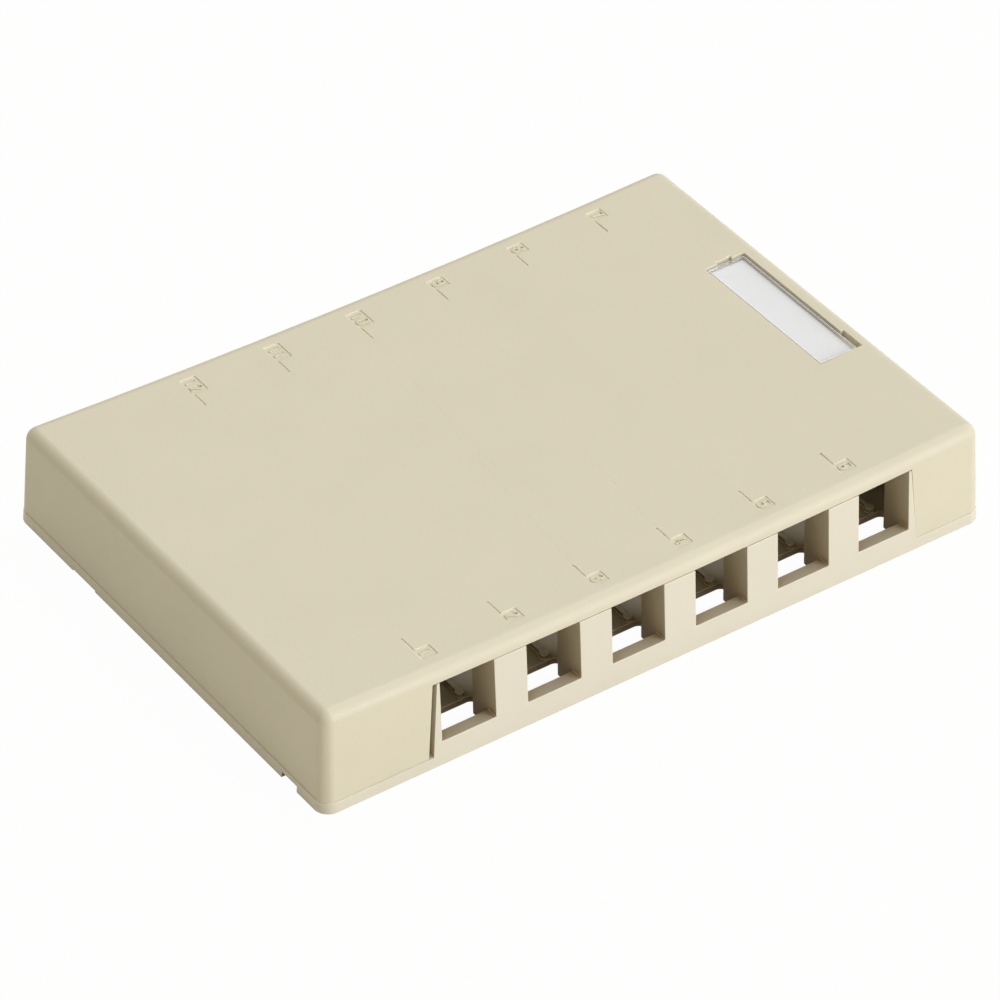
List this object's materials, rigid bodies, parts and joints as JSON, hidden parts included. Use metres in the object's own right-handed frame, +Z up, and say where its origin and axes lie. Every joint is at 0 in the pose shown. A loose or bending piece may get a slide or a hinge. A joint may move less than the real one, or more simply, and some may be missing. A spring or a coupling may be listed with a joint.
{
  "type": "surface mount jack box",
  "caption": "Low rectangular surface mount box with rows of empty jack openings along both long sides, a clip-fitted cover with raised port numbers and a clear label window.",
  "frame": {"origin": "centre of the base's flat underside", "axes": "+X along the long side, +Y from the front row of ports to the back row, +Z up from the mounting surface"},
  "size_m": [0.1864, 0.129, 0.0271],
  "materials": {
    "base_plastic": "ivory moulded plastic, finely textured outside",
    "cover_plastic": "ivory moulded plastic with a fine satin texture",
    "card": "plain white card",
    "clear_plastic": "clear polished plastic"
  },
  "bodies": {
    "base": {"base": "base_plastic"},
    "cover": {"cover": "cover_plastic", "label_card": "card"},
    "label_window": {"label_window": "clear_plastic"}
  },
  "joints": [
    {"name": "cover_lift", "type": "slide", "parent": "base", "child": "cover", "axis": [0, 0, 1], "range_m": [0, 0.04]},
    {"name": "window_lift", "type": "slide", "parent": "cover", "child": "label_window", "axis": [0, 0, 1], "range_m": [0, 0.012]}
  ]
}
